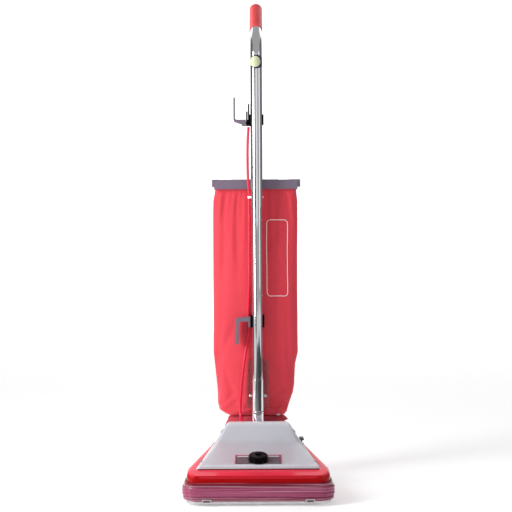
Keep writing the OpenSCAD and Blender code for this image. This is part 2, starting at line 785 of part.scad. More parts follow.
// Saddle that wraps the back and sides of a tube
module saddle(z, h, tube_r, thick) difference() {
    translate([0, 0, z]) cylinder(h = h, r = tube_r + thick);
    translate([0, 0, z - 1]) cylinder(h = h + 2, r = tube_r + touch);
    box([-30, -30, z - 1], [30, -3, z + h + 1]);
}

module upper_hook_base() color(black) placed() {
    difference() {
        union() {
            saddle(upper_hook_z - 6, 28, upper_r, 3.2);
            rod_x(-27.5, -15, hook_y, upper_hook_z, 9);
            box([-22.5, hook_y - 4, upper_hook_z + 5], [-18.5, hook_y + 4, upper_hook_z + 50]);
            box([-27.5, hook_y - 4, upper_hook_z + 5], [-23.5, hook_y + 4, upper_hook_z + 30]);
        }
        translate([0, 0, upper_hook_z - 30]) cylinder(h = 90, r = upper_r + touch);
        translate([-21, 4, upper_hook_z - 12]) cylinder(h = 7, r = lead_r + gap);
    }
    rod_x(-38, -27, hook_y, upper_hook_z, 4);
}

module upper_hook() {
    w = 20;
    color(grey) placed() difference() {
        union() {
            translate([0, hook_y + w / 2, 0]) rotate([90, 0, 0]) linear_extrude(w) polygon(concat(
                [[-28, upper_hook_z + 8], [-52, upper_hook_z + 8]],
                arc([-52.5, upper_hook_z + 12], 4, 270, 180, 4),
                [[-56.5, 1019], [-58.7, 1020.5], [-61, 1019]],
                arc([-53, upper_hook_z + 9], 8, 180, 250, 4), [[-28, upper_hook_z - 8]]));
            rod_x(-38, -28, hook_y, upper_hook_z, 9);
        }
        rod_x(-38.5, -20, hook_y, upper_hook_z, 4 + run);
        // Hollow along the back of the hook
        box([-56, hook_y + 4, upper_hook_z - 4], [-41, hook_y + 20, upper_hook_z + 5]);
    }
}

module lower_hook_base() color(black) placed() saddle(lower_hook_z, 33, lower_r, 4.2);

module lower_hook() {
    w = 20;
    top = lower_hook_z + 29;
    color(grey) placed() difference() {
        translate([0, hook_y - 2 + w / 2, 0]) rotate([90, 0, 0]) linear_extrude(w) polygon(concat(
            [[-10, top + 1], [-46, top - 3]], arc([-50, top - 12], 9, 90, 180, 4),
            [[-59, 368], [-56, 366], [-52, 366], [-50, 369]],
            arc([-44, top - 19.5], 6, 180, 90, 4), [[-24, top - 13], [-24, 412], [-10, 412]]));
        translate([0, 0, 400]) cylinder(h = 60, r = lower_r + 4.2 + touch);
        box([-20, -30, 400], [0, -3 + touch, 460]);
    }
}

module lead_clip() color(chrome_c) placed() difference() {
    union() {
        translate([0, 0, 753]) cylinder(h = 6, r = upper_r + 1.2);
        translate([-20.5, 8, 753]) cylinder(h = 6, r = lead_r + 1.2);
    }
    translate([0, 0, 749]) cylinder(h = 13, r = upper_r + touch);
    translate([-20.5, 8, 749]) cylinder(h = 13, r = lead_r + gap);
    box([-40, -30, 749], [40, 2, 762]);
    box([-30, 8, 749], [-20.5, 20, 762]);
}

module motor_lead() {
    rings = tube_rings(lead_points, [for (p = lead_points) [0, 1, 0]], lead_r, 10, false);
    color("#d81835") placed() loft(rings);
}

// ---------------------------------------------------------------- bag
// Rounded rectangle at height z, from x0 to x1 and y0 to y1
function bag_ring(z, x0, x1, y0, y1, inset) =
    let (r = min(22, (y1 - y0) / 2) - inset, a = x0 + inset + r, b = x1 - inset - r,
        c = y0 + inset + r, d = y1 - inset - r)
    [for (p = concat(arc([b, d], r, 90, 0, 5), arc([b, c], r, 360, 270, 5),
        arc([a, c], r, 270, 180, 5), arc([a, d], r, 180, 90, 5))) [p.x, p.y, z]];

// Height, left, right, front and back of the bag
bag_sections = [[bag_bottom_z, -76, 70, 27, 98], [182, -90, 75, 26, 104], [193, -103, 78, 25, 108],
    [212, -107, 82, 24, 110], [240, -107, 93, 24, 111], [266, -109, 97, 24, 112],
    [320, -114, 100, 24, 112], [350, -117, 107, 24, 112], [600, -117, 107, 24, 112],
    [700, -117, 108, 24, 104], [750, -116, 108, 25, 84], [cap_z - 3, -111, 105, 32, 58],
    [cap_z + cap_h - 8, -111, 105, 32, 58]];

module bag_solid(inset, from, to) loft([for (i = [from:to]) let (s = bag_sections[i])
    bag_ring(s[0] + (i == from ? inset : i == to ? -inset : 0), s[1], s[2], s[3], s[4], inset)]);

module outer_bag() color("#e0404e") placed() difference() {
    bag_solid(0, 0, len(bag_sections) - 1);
    bag_solid(2, 0, len(bag_sections) - 1);
}

// Filter bag, slimmer than the outer one all round
module inner_bag() color("#e8dcc0") placed() loft([for (i = [2:len(bag_sections) - 4]) let (s = bag_sections[i])
    bag_ring(s[0] + 8, s[1] + 26, s[2] - 26, s[3] + 22, s[4] - 22, 0)]);

module bag_cap() color("#75707a") placed() difference() {
    union() {
        box([-114, 26, cap_z], [109, 64, cap_z + cap_h]);
        box([-120, 28, cap_z + 7], [117, 62, cap_z + cap_h]);
        translate([0, 30, cap_z + cap_h - 1]) linear_extrude(7) square([12, 5], center = true);
    }
    box([-111 - gap, 32 - gap, cap_z - 1], [105 + gap, 58 + gap, cap_z + cap_h - 7]);
    rod_x(-10, 10, 30, cap_z + cap_h + 3, 1.4);
    // Scoops in the top edge
    for (x = [-85, 72]) translate([x, 24, cap_z + cap_h + 6]) rotate([-90, 0, 0]) scale([3, 1, 1])
        cylinder(h = 12, r = 8);
}

spring_bottom = cap_z + cap_h + 6 + gap;
spring_top = 870;

// Tension spring with its turns closed up
module bag_spring() {
    wire = 2;
    turns = floor((spring_top - spring_bottom) / (2 * wire));
    pitch = (spring_top - spring_bottom) / turns;
    color(steel) placed() translate([0, 30, spring_bottom]) rotate_extrude() polygon(concat([[3, 0]],
        [for (i = [0:turns - 1]) each [[5.2, (i + 0.15) * pitch], [6, (i + 0.5) * pitch],
            [5.2, (i + 0.85) * pitch]]], [[3, turns * pitch]]));
}

module bag_hook() color(steel) placed() difference() {
    union() {
        box([-5, upper_r - 2, spring_top + gap], [5, 36, spring_top + gap + 2.5]);
        box([-5, upper_r - 2, spring_top + gap], [5, upper_r + 2, spring_top + 22]);
    }
    cylinder(h = 950, r = upper_r + touch);
}

// Fabric boot from the duct up to the gathered end of the bag; each section is a centre and two radii
module bag_boot() {
    sections = [[112 + gap, duct_x, 20, 22, 21], [124, -58, 31, 32, 22], [136, -40, 50, 52, 36],
        [148, -14, 62, 74, 44], [159, 0, 64, 83, 42], [bag_bottom_z - gap, -3, 62, 73, 35]];
    color("#8e2030") placed() loft([for (s = sections) [for (a = [345:-15:0])
        [s[1] + s[3] * cos(a), s[2] + s[4] * sin(a), s[0]]]]);
}

nozzle_housing();
furniture_guard();
bottom_plate();
plate_latch_left();
plate_latch_right();
latch_studs();
brush_roll();
bristle_strips();
brush_end_caps();
belt();
fan_chamber();
fan();
motor_case();
motor_stator();
motor_bearings();
motor_shaft();
armature();
carbon_brushes();
base_pan();
hood();
hood_screws();
height_decal();
height_knob();
wheel_carriage();
carriage_pivot();
front_axle();
front_wheel_left();
front_wheel_right();
rear_axle();
rear_wheel_left();
rear_wheel_right();
exhaust_duct();
bag_boot();
lead_gland();
bail_brackets();
bail_pins();
release_pedal();
pedal_pin();
handle_bail();
handle_socket();
socket_screws();
guard_sheet();
lower_tube();
upper_tube();
hand_grip();
round_label();
switch_box();
switch_rocker();
mains_gland();
upper_hook_base();
upper_hook();
lower_hook_base();
lower_hook();
lead_clip();
motor_lead();
bag_hook();
bag_spring();
bag_cap();
outer_bag();
inner_bag();
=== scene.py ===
"""Looks of the upright vacuum cleaner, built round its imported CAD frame. Metres throughout."""

import json
import math
from itertools import product

import bmesh
import bpy
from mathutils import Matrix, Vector, noise


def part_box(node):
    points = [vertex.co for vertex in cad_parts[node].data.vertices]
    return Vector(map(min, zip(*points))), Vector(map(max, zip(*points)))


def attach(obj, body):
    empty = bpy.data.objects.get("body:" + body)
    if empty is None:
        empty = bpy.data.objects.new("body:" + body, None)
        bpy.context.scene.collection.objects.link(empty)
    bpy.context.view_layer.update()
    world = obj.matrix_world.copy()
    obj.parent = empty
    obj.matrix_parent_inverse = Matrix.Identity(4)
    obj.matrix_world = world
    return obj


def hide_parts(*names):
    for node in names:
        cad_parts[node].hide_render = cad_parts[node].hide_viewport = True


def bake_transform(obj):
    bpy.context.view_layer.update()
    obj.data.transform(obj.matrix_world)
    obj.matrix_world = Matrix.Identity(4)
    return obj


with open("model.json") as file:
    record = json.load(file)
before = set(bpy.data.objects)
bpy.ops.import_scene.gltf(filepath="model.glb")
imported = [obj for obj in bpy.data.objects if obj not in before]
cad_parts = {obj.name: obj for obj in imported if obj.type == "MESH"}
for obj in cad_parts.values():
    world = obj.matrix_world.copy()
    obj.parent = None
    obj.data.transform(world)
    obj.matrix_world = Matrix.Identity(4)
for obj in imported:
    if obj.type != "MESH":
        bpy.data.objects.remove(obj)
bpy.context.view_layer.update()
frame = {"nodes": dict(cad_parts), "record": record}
nodes = frame["nodes"]
mm = 0.001

tube_lo, tube_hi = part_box("lower_tube")
tube_x = (tube_lo[0] + tube_hi[0]) / 2
tube_y = (tube_lo[1] + tube_hi[1]) / 2


# ------------------------------------------------------------------ camera
def make_camera():
    """The photograph's level view from straight in front of the machine."""
    data = bpy.data.cameras.new("camera")
    data.sensor_width = 36
    data.lens = 79.6
    camera = bpy.data.objects.new("camera", data)
    camera.location = (-0.003, -2.932, 0.600)
    camera.rotation_euler = (math.radians(90), math.radians(0.3), 0)
    bpy.context.scene.collection.objects.link(camera)
    bpy.context.scene.camera = camera
    bpy.context.scene.view_settings.view_transform = "Standard"


# ------------------------------------------------------------------ materials
class Surface:
    """A node material round one Principled shader, with its bumps chained in order."""

    def __init__(self, name, color, roughness=0.5, metallic=0.0, **sockets):
        self.material = bpy.data.materials.new(name)
        self.material.use_nodes = True
        self.tree = self.material.node_tree
        self.shader = self.tree.nodes["Principled BSDF"]
        self.color = (*color, 1)
        self.shader.inputs["Base Color"].default_value = self.color
        self.shader.inputs["Roughness"].default_value = roughness
        self.shader.inputs["Metallic"].default_value = metallic
        for socket, value in sockets.items():
            self.shader.inputs[socket.replace("_", " ")].default_value = value
        self.bumps = None
        self.place = self.node("ShaderNodeTexCoord").outputs["Object"]

    def node(self, kind, **settings):
        made = self.tree.nodes.new(kind)
        for key, value in settings.items():
            setattr(made, key, value)
        return made

    def link(self, a, b):
        self.tree.links.new(a, b)

    def stretched(self, stretch):
        """Object coordinates scaled by stretch along each axis."""
        scaled = self.node("ShaderNodeVectorMath", operation="MULTIPLY")
        self.link(self.place, scaled.inputs[0])
        scaled.inputs[1].default_value = stretch
        return scaled.outputs[0]

    def noise(self, scale, detail=3, stretch=(1, 1, 1), roughness=0.5):
        made = self.node("ShaderNodeTexNoise")
        made.inputs["Scale"].default_value = scale
        made.inputs["Detail"].default_value = detail
        made.inputs["Roughness"].default_value = roughness
        self.link(self.stretched(stretch), made.inputs["Vector"])
        return made.outputs["Fac"]

    def wave(self, direction, period, distortion=0.0):
        """Bands across one axis, period metres apart."""
        made = self.node("ShaderNodeTexWave", wave_type="BANDS", bands_direction=direction)
        made.inputs["Scale"].default_value = 2 * math.pi / (20 * period)
        made.inputs["Distortion"].default_value = distortion
        made.inputs["Detail"].default_value = 1
        made.inputs["Detail Scale"].default_value = 3
        self.link(self.place, made.inputs["Vector"])
        return made.outputs["Fac"]

    def math(self, operation, a, b=0.0, c=0.0, clamp=False):
        made = self.node("ShaderNodeMath", operation=operation, use_clamp=clamp)
        for socket, value in zip(made.inputs, (a, b, c)):
            if isinstance(value, (int, float)):
                socket.default_value = value
            else:
                self.link(value, socket)
        return made.outputs[0]

    def span(self, value, low, high, to_low=0.0, to_high=1.0):
        """value mapped from low..high to to_low..to_high, and held there."""
        made = self.node("ShaderNodeMapRange")
        for socket, number in zip(made.inputs[1:5], (low, high, to_low, to_high)):
            socket.default_value = number
        self.link(value, made.inputs[0])
        return made.outputs[0]

    def tint(self, factor, color):
        """Blends color over what the base colour is so far."""
        made = self.node("ShaderNodeMix", data_type="RGBA")
        base = self.shader.inputs["Base Color"]
        if base.links:
            self.link(base.links[0].from_socket, made.inputs["A"])
        else:
            made.inputs["A"].default_value = self.color
        made.inputs["B"].default_value = (*(min(1, c) for c in color), 1)
        self.link(factor, made.inputs["Factor"])
        self.link(made.outputs["Result"], base)
        return self

    def rough(self, factor, low, high):
        self.link(self.span(factor, 0.3, 0.7, low, high), self.shader.inputs["Roughness"])
        return self

    def bump(self, height, strength, distance):
        made = self.node("ShaderNodeBump")
        made.inputs["Strength"].default_value = strength
        made.inputs["Distance"].default_value = distance
        self.link(height, made.inputs["Height"])
        if self.bumps:
            self.link(self.bumps, made.inputs["Normal"])
        self.bumps = made.outputs["Normal"]
        self.link(self.bumps, self.shader.inputs["Normal"])
        return self

    def axis(self, name):
        """One object coordinate."""
        made = self.node("ShaderNodeSeparateXYZ")
        self.link(self.place, made.inputs[0])
        return made.outputs[name]


def wear_and_edge_highlight(surface, color, amount=0.35, sharp=0.52):
    """Brightens edges with color: rubbed wear on some paints, and a painted highlight along the rounded
    edges on others; a lower sharp takes in rounder edges.
    """
    pointed = surface.node("ShaderNodeNewGeometry").outputs["Pointiness"]
    edges = surface.span(pointed, sharp, sharp + (sharp - 0.5) * 5, 0, amount)
    broken = surface.math("MULTIPLY", edges, surface.span(surface.noise(90), 0.4, 0.6, 0.6, 1))
    return surface.tint(broken, color)


def painted_top_light(surface, color):
    """Paler colour where the surface faces up: painted light, as on the housing's ledge round the hood."""
    split = surface.node("ShaderNodeSeparateXYZ")
    surface.link(surface.node("ShaderNodeNewGeometry").outputs["Normal"], split.inputs[0])
    return surface.tint(surface.span(split.outputs["Z"], 0.35, 0.9, 0, 0.9), color)


def chrome(name):
    s = Surface(name, (0.82, 0.82, 0.84), 0.07, 1.0)
    s.tint(s.span(s.noise(14, 4), 0.45, 0.75, 0, 0.35), (0.66, 0.66, 0.70))
    s.rough(s.noise(260, 3, (1, 1, 0.05)), 0.03, 0.08)
    return s.bump(s.noise(30, 2, (1, 1, 0.3)), 0.02, 0.3 * mm)


def zinc(name, color=(0.55, 0.55, 0.58)):
    s = Surface(name, color, 0.35, 0.95)
    s.tint(s.span(s.noise(60, 5), 0.4, 0.7, 0, 0.5), (0.74, 0.74, 0.76))
    s.rough(s.noise(120, 3, (0.1, 1, 1)), 0.26, 0.45)
    return s.bump(s.noise(900, 2, (0.08, 1, 1)), 0.15, 0.1 * mm)


def paint(name, color, roughness, flake=0.0, coat=0.4, gloss=0.5):
    """Sprayed and stoved enamel with a little orange peel; flake adds aluminium flake."""
    s = Surface(name, color, roughness, flake, Coat_Weight=coat, Coat_Roughness=0.08,
                Specular_IOR_Level=gloss)
    dark = tuple(c * 0.8 for c in color)
    s.tint(s.span(s.noise(9, 4), 0.4, 0.7, 0, 0.3), dark)
    if flake:
        s.tint(s.span(s.noise(2600, 1), 0.55, 0.75, 0, 0.5), tuple(min(1, c * 1.3) for c in color))
    return s.bump(s.noise(380, 2), 0.10, 0.12 * mm)


def plastic(name, color, roughness=0.45, grain=1400, depth=0.12, gloss=0.5):
    """Moulded plastic with a fine spark-eroded grain."""
    s = Surface(name, color, roughness, Specular_IOR_Level=gloss)
    s.tint(s.span(s.noise(25, 4), 0.4, 0.7, 0, 0.3), tuple(c * 1.3 for c in color))
    s.rough(s.noise(300, 3), roughness - 0.07, roughness + 0.1)
    return s.bump(s.noise(grain, 3), 0.35, depth * mm)


def rubber(name, color, roughness=0.6):
    s = Surface(name, color, roughness)
    s.tint(s.span(s.noise(40, 4), 0.45, 0.75, 0, 0.5), tuple(c * 1.5 + 0.02 for c in color))
    return s.bump(s.noise(700, 4), 0.3, 0.1 * mm)


def woven(name, color, shade, thread=0.9 * mm, along="Z", across="X"):
    """Plain-weave polyester: two sets of threads, each over and under the other."""
    s = Surface(name, color, 0.72, Sheen_Weight=0.25, Sheen_Roughness=0.4)
    s.shader.inputs["Sheen Tint"].default_value = (1, 0.75, 0.75, 1)
    warp = s.wave(across, thread, 0.6)
    weft = s.wave(along, thread, 0.6)
    check = s.math("MULTIPLY", warp, weft)
    s.tint(s.span(check, 0.1, 0.9, 0.22, 0), shade)
    s.tint(s.span(s.noise(7, 5), 0.4, 0.75, 0, 0.4), shade)
    s.tint(s.span(s.noise(500, 2, (1, 1, 0.1)), 0.5, 0.8, 0, 0.25), shade)
    s.bump(check, 0.45, 0.25 * mm)
    return s.bump(s.noise(45, 4), 0.25, 1.2 * mm)


def clear_vinyl(name, color, transmission, roughness):
    s = Surface(name, color, roughness, Transmission_Weight=transmission, IOR=1.35)
    s.tint(s.span(s.noise(22, 4), 0.4, 0.75, 0, 0.3), tuple(c * 0.85 for c in color))
    s.rough(s.noise(160, 3), roughness * 0.8, roughness * 1.4)
    return s.bump(s.noise(60, 2), 0.03, 0.3 * mm)


def guard_vinyl():
    """The guard's cloudy pink vinyl, with painted light and shade: the red body behind painted in above as
    if seen through it, the shade of its foot below, and light and dark bands along its ribs.
    """
    lo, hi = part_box("furniture_guard")
    tall = hi[2] - lo[2]
    s = clear_vinyl("pink_vinyl", (0.50, 0.115, 0.23), 0.35, 0.14)
    # Painted: darker above, the red body behind drawn into the vinyl's colour as if seen through it.
    upper = s.span(s.axis("Z"), lo[2] + 0.68 * tall, lo[2] + 0.78 * tall, 0, 0.95)
    s.tint(upper, (0.26, 0.015, 0.035))
    lower = s.span(s.axis("Z"), lo[2] + 0.26 * tall, lo[2] + 0.16 * tall, 0, 0.8)
    s.tint(lower, (0.24, 0.035, 0.075))
    # Painted light and dark bands along the ribs, standing in for their reflections.
    painted_rib_bands = s.noise(330, 2, (0.01, 0.01, 1))
    s.tint(s.span(painted_rib_bands, 0.55, 0.62, 0, 0.6), (0.72, 0.40, 0.52))
    return s.tint(s.span(painted_rib_bands, 0.44, 0.36, 0, 0.5), (0.22, 0.02, 0.06))


def cast(name, color):
    s = Surface(name, color, 0.6, 0.7)
    s.tint(s.span(s.noise(80, 5), 0.4, 0.7, 0, 0.5), tuple(c * 0.6 for c in color))
    return s.bump(s.noise(500, 5), 0.5, 0.3 * mm)


def copper_windings():
    s = Surface("copper_windings", (0.52, 0.24, 0.10), 0.3, 0.9)
    turns = s.wave("Y", 0.9 * mm)
    s.tint(s.span(turns, 0.2, 0.8, 0.5, 0), (0.2, 0.08, 0.03))
    return s.bump(turns, 0.5, 0.3 * mm)


def turned_wood():
    s = Surface("turned_wood", (0.34, 0.20, 0.10), 0.5)
    grain = s.noise(60, 5, (0.08, 1, 1))
    s.tint(s.span(grain, 0.4, 0.65, 0, 0.8), (0.18, 0.09, 0.04))
    return s.bump(grain, 0.3, 0.2 * mm)


def filter_paper():
    s = Surface("filter_paper", (0.72, 0.62, 0.44), 0.9)
    s.tint(s.span(s.noise(130, 6), 0.4, 0.7, 0, 0.4), (0.6, 0.5, 0.33))
    return s.bump(s.noise(300, 5), 0.5, 0.3 * mm)


def bag_cloth():
    """The bag's red cloth, with the thin white panel outline that is printed on its right."""
    s = woven("bag_cloth", (0.77, 0.042, 0.068), (0.58, 0.022, 0.042))
    rest = s.node("ShaderNodeUVMap", uv_map="rest").outputs[0]
    split = s.node("ShaderNodeSeparateXYZ")
    s.link(rest, split.inputs[0])
    half_w, half_h, corner, line = 26.5 * mm, 100 * mm, 10 * mm, 0.75 * mm
    off_x = s.math("ABSOLUTE", s.math("SUBTRACT", split.outputs[0], 52 * mm))
    off_z = s.math("ABSOLUTE", s.math("SUBTRACT", split.outputs[1], 600 * mm))
    du = s.math("SUBTRACT", off_x, half_w - corner)
    dv = s.math("SUBTRACT", off_z, half_h - corner)
    squares = [s.math("POWER", s.math("MAXIMUM", d, 0.0), 2.0) for d in (du, dv)]
    outside = s.math("POWER", s.math("ADD", *squares), 0.5)
    inside = s.math("MINIMUM", s.math("MAXIMUM", du, dv), 0.0)
    away = s.math("ABSOLUTE", s.math("SUBTRACT", s.math("ADD", outside, inside), corner))
    front = s.math("LESS_THAN", s.axis("Y"), tube_y + 50 * mm)
    s.tint(s.math("MULTIPLY", s.math("LESS_THAN", away, line), front), (0.95, 0.90, 0.90))
    return s


def label_print():
    """Pale green disc a little left of centre on a navy one."""
    lo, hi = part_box("round_label")
    s = Surface("label_print", (0.02, 0.025, 0.07), 0.35)
    dx = s.math("SUBTRACT", s.axis("X"), (lo[0] + hi[0]) / 2 - 3 * mm)
    dz = s.math("SUBTRACT", s.axis("Z"), (lo[2] + hi[2]) / 2)
    away = s.math("SQRT", s.math("ADD", s.math("MULTIPLY", dx, dx), s.math("MULTIPLY", dz, dz)))
    s.tint(s.math("LESS_THAN", away, 14.5 * mm), (0.56, 0.60, 0.38))
    leaf = s.span(s.noise(160, 2), 0.55, 0.6, 0, 0.8)
    s.tint(s.math("MULTIPLY", leaf, s.math("LESS_THAN", away, 9 * mm)), (0.30, 0.48, 0.14))
    return s.bump(s.noise(600, 2), 0.05, 0.1 * mm)


surfaces = {
    # The red paint is paler where it faces up, a painted light on the housing's ledge; its edge tint is
    # rubbed wear.
    "red_paint": wear_and_edge_highlight(painted_top_light(paint("red_paint", (0.34, 0.0005, 0.001), 0.22, coat=0.25, gloss=0.05),
                                (0.88, 0.041, 0.082)), (0.8, 0.15, 0.18), 0.3),
    # The silver paint's white edges are a painted highlight along the hood's rounded shoulders and top.
    "silver_paint": wear_and_edge_highlight(paint("silver_paint", (0.53, 0.53, 0.58), 0.40, flake=0.1, coat=0.1, gloss=0.3),
                         (1.0, 1.0, 1.0), 0.75, 0.506),
    "chrome": chrome("chrome"),
    "steel": zinc("zinc_plate"),
    "dark_metal": wear_and_edge_highlight(paint("dark_metal", (0.045, 0.04, 0.05), 0.4), (0.3, 0.3, 0.32), 0.4),
    "casting": cast("grey_casting", (0.30, 0.30, 0.32)),
    "black_plastic": plastic("black_plastic", (0.002, 0.0015, 0.002), 0.34, gloss=0.06),
    "grey_plastic": plastic("grey_plastic", (0.165, 0.130, 0.178), 0.42, gloss=0.4),
    "rubber": rubber("black_rubber", (0.02, 0.02, 0.02)),
    "tyre": rubber("tyre_rubber", (0.028, 0.028, 0.03), 0.75),
    "clear_vinyl": guard_vinyl(),
    "clear_sheet": clear_vinyl("clear_sheet", (0.95, 0.93, 0.95), 0.97, 0.10),
    "bag_fabric": bag_cloth(),
    # The boot's cloth is the bag's cloth darkened: painted shade under the bag.
    "boot_fabric": woven("boot_cloth", (0.50, 0.025, 0.05), (0.30, 0.012, 0.03)),
    "paper": filter_paper(),
    "tie": woven("tie_webbing", (0.78, 0.74, 0.74), (0.60, 0.56, 0.56)),
    "red_vinyl": rubber("red_vinyl", (0.84, 0.045, 0.05), 0.36),
    "lead_jacket": rubber("lead_jacket", (0.74, 0.004, 0.04), 0.3),
    "aluminium": zinc("cast_aluminium", (0.6, 0.61, 0.63)),
    "copper": copper_windings(),
    "carbon": plastic("carbon", (0.03, 0.03, 0.03), 0.7),
    "wood": turned_wood(),
    "bristle": plastic("nylon_bristle", (0.015, 0.015, 0.015), 0.5),
    "decal": plastic("decal_film", (0.065, 0.06, 0.075), 0.3, 300, 0.05),
    "label": label_print(),
}


# ------------------------------------------------------------------ mesh helpers
def add_object(name, verts, faces, surface, smooth=True):
    mesh = bpy.data.meshes.new(name)
    mesh.from_pydata(verts, [], faces)
    mesh.materials.append(surface.material)
    work = bmesh.new()
    work.from_mesh(mesh)
    bmesh.ops.recalc_face_normals(work, faces=work.faces)
    work.to_mesh(mesh)
    work.free()
    mesh.polygons.foreach_set("use_smooth", [smooth] * len(mesh.polygons))
    made = bpy.data.objects.new(name, mesh)
    bpy.context.scene.collection.objects.link(made)
    return made


def skin(rings, closed_ring=True, closed_ends=True):
    """Faces between rings of equal length, as indices into the rings laid end to end."""
    n = len(rings[0])
    faces = []
    for i in range(len(rings) - 1):
        for k in range(n if closed_ring else n - 1):
            j = (k + 1) % n
            faces.append((i * n + k, i * n + j, (i + 1) * n + j, (i + 1) * n + k))
    if closed_ends:
        faces.append(tuple(range(n)))
        faces.append(tuple((len(rings) - 1) * n + k for k in range(n)))
    return faces


def lathe(name, profile, centre, direction, surface, count=32):
    """A turned piece: profile is (distance along, radius) from centre along direction."""
    direction = Vector(direction).normalized()
    side = direction.orthogonal().normalized()
    other = direction.cross(side)
    rings = []
    for along, radius in profile:
        rings.append([Vector(centre) + direction * along
                      + radius * (math.cos(a) * side + math.sin(a) * other)
                      for a in (math.tau * k / count for k in range(count))])
    return add_object(name, [p for ring in rings for p in ring], skin(rings), surface)


def softened(obj, width, segments=2, angle=35):
    """Rounds an object's edges with modifiers; its mesh isn't touched."""
    weld = obj.modifiers.new("weld", "WELD")
    weld.merge_threshold = 0.01 * mm
    bevel = obj.modifiers.new("edges", "BEVEL")
    bevel.width = width
    bevel.segments = segments
    bevel.limit_method = "ANGLE"
    bevel.angle_limit = math.radians(angle)
    bevel.use_clamp_overlap = True
    bevel.harden_normals = True


def smooth_path(points, per_span):
    """A Catmull-Rom curve through points."""
    points = [Vector(p) for p in points]
    path = []
    for i in range(len(points) - 1):
        a = points[max(i - 1, 0)]
        b, c = points[i], points[i + 1]
        d = points[min(i + 2, len(points) - 1)]
        for k in range(per_span):
            t = k / per_span
            path.append(0.5 * (2 * b + (c - a) * t + (2 * a - 5 * b + 4 * c - d) * t * t
                               + (3 * b - 3 * c + d - a) * t ** 3))
    path.append(points[-1])
    return path


def tube_along(name, path, radius, surface, count=16):
    """A round tube whose rings keep their twist along path."""
    rings = []
    side = Vector((0, 1, 0))
    for i, p in enumerate(path):
        heading = (path[min(i + 1, len(path) - 1)] - path[max(i - 1, 0)]).normalized()
        side = (side - heading * side.dot(heading)).normalized()
        other = heading.cross(side)
        rings.append([p + radius * (math.cos(a) * side + math.sin(a) * other)
                      for a in (math.tau * k / count for k in range(count))])
    return add_object(name, [p for ring in rings for p in ring], skin(rings), surface)


# ------------------------------------------------------------------ the bag
# Height, left, right, front and back of the bag, in millimetres from the tube's axis
bag_sections = [(172, -76, 70, 27, 98), (182, -90, 75, 26, 104), (193, -103, 78, 25, 108),
                (212, -107, 82, 24, 110), (240, -107, 93, 24, 111), (266, -109, 97, 24, 112),
                (320, -114, 100, 24, 112), (350, -117, 107, 24, 112), (600, -117, 107, 24, 112),
                (700, -117, 108, 24, 104), (750, -116, 108, 25, 84), (776, -111, 105, 32, 58),
                (797, -111, 105, 32, 58)]


def section_at(sections, z):
    """The section at height z, between the ones given."""
    for low, high in zip(sections, sections[1:]):
        if z <= high[0]:
            t = (z - low[0]) / (high[0] - low[0])
            return [a + (b - a) * t for a, b in zip(low[1:], high[1:])]
    return list(sections[-1][1:])


def rounded_ring(box, radius, count):
    """count points evenly round a rounded rectangle (x0, x1, y0, y1), from the middle of its back."""
    x0, x1, y0, y1 = box
    radius = min(radius, (y1 - y0) / 2 - 0.1)
    flat_x, flat_y = x1 - x0 - 2 * radius, y1 - y0 - 2 * radius
    quarter = math.pi * radius / 2
    total = 2 * flat_x + 2 * flat_y + 4 * quarter
    centre_x = (x0 + x1) / 2
    corners = [((x1 - radius, y1 - radius), 90), ((x1 - radius, y0 + radius), 0),
               ((x0 + radius, y0 + radius), -90), ((x0 + radius, y1 - radius), 180)]
    runs = [flat_x / 2, quarter, flat_y, quarter, flat_x, quarter, flat_y, quarter, flat_x / 2]
    starts = [(centre_x, y1), None, (x1, y1 - radius), None, (x1 - radius, y0), None,
              (x0, y0 + radius), None, (x0 + radius, y1)]
    headings = [(1, 0), None, (0, -1), None, (-1, 0), None, (0, 1), None, (1, 0)]
    points = []
    for k in range(count):
        s = total * k / count
        for i, run in enumerate(runs):
            if s <= run or i == len(runs) - 1:
                break
            s -= run
        if starts[i]:
            points.append((starts[i][0] + headings[i][0] * s, starts[i][1] + headings[i][1] * s))
        else:
            (cx, cy), a0 = corners[i // 2]
            a = math.radians(a0 - 90 * s / quarter)
            points.append((cx + radius * math.cos(a), cy + radius * math.sin(a)))
    return points


def bag_mesh(inset, ring_count, rows):
    """Rings of the bag's wall, fuller along its middle than at its side seams."""
    rings = []
    low, high = bag_sections[0][0], bag_sections[-1][0]
    for i in range(rows + 1):
        z = low + (high - low) * i / rows
        x0, x1, y0, y1 = section_at(bag_sections, z)
        ends = min(1, (z - low) / 30, (high - z) / 30)
        d = inset * max(ends, 0.15)
        box = (x0 + d, x1 - d, y0 + d, y1 - d)
        swell = 17 * min(1, (z - low) / 40, max(0, high - 20 - z) / 90)
        ring = []
        for x, y in rounded_ring(box, 20, ring_count):
            middle = (y0 + y1) / 2
            off = (2 * x - x0 - x1) / (x1 - x0)
            lean = swell * off * off * (middle - y) / ((y1 - y0) / 2)
            ring.append(Vector((tube_x + x * mm, tube_y + (y + lean) * mm, z * mm)))
        rings.append(ring)
    return rings


def simulate_bag(bag, pinned, furthest):
    """Fills the slack bag with air, and keeps the folds that this makes, each up to furthest deep."""
    start = [v.co.copy() for v in bag.data.vertices]
    group = bag.vertex_groups.new(name="held")
    group.add(pinned, 1.0, "REPLACE")
    cloth = bag.modifiers.new("cloth", "CLOTH")
    settings = cloth.settings
    settings.quality = 6
    settings.mass = 0.25
    settings.tension_stiffness = 25
    settings.compression_stiffness = 25
    settings.shear_stiffness = 8
    settings.bending_stiffness = 0.6
    settings.vertex_group_mass = "held"
    settings.use_pressure = True
    settings.uniform_pressure_force = 3.5
    settings.shrink_min = -0.035
    settings.effector_weights.gravity = 0.4
    cloth.collision_settings.use_collision = False
    scene = bpy.context.scene
    for step in range(1, 26):
        scene.frame_set(step)
    shown = bag.evaluated_get(bpy.context.evaluated_depsgraph_get())
    moved = [v.co.copy() for v in shown.data.vertices]
    bag.modifiers.remove(cloth)
    scene.frame_set(1)
    for vertex, a, b in zip(bag.data.vertices, start, moved):
        step = b - a
        if step.length > furthest:
            step *= furthest / step.length
        vertex.co = a + step


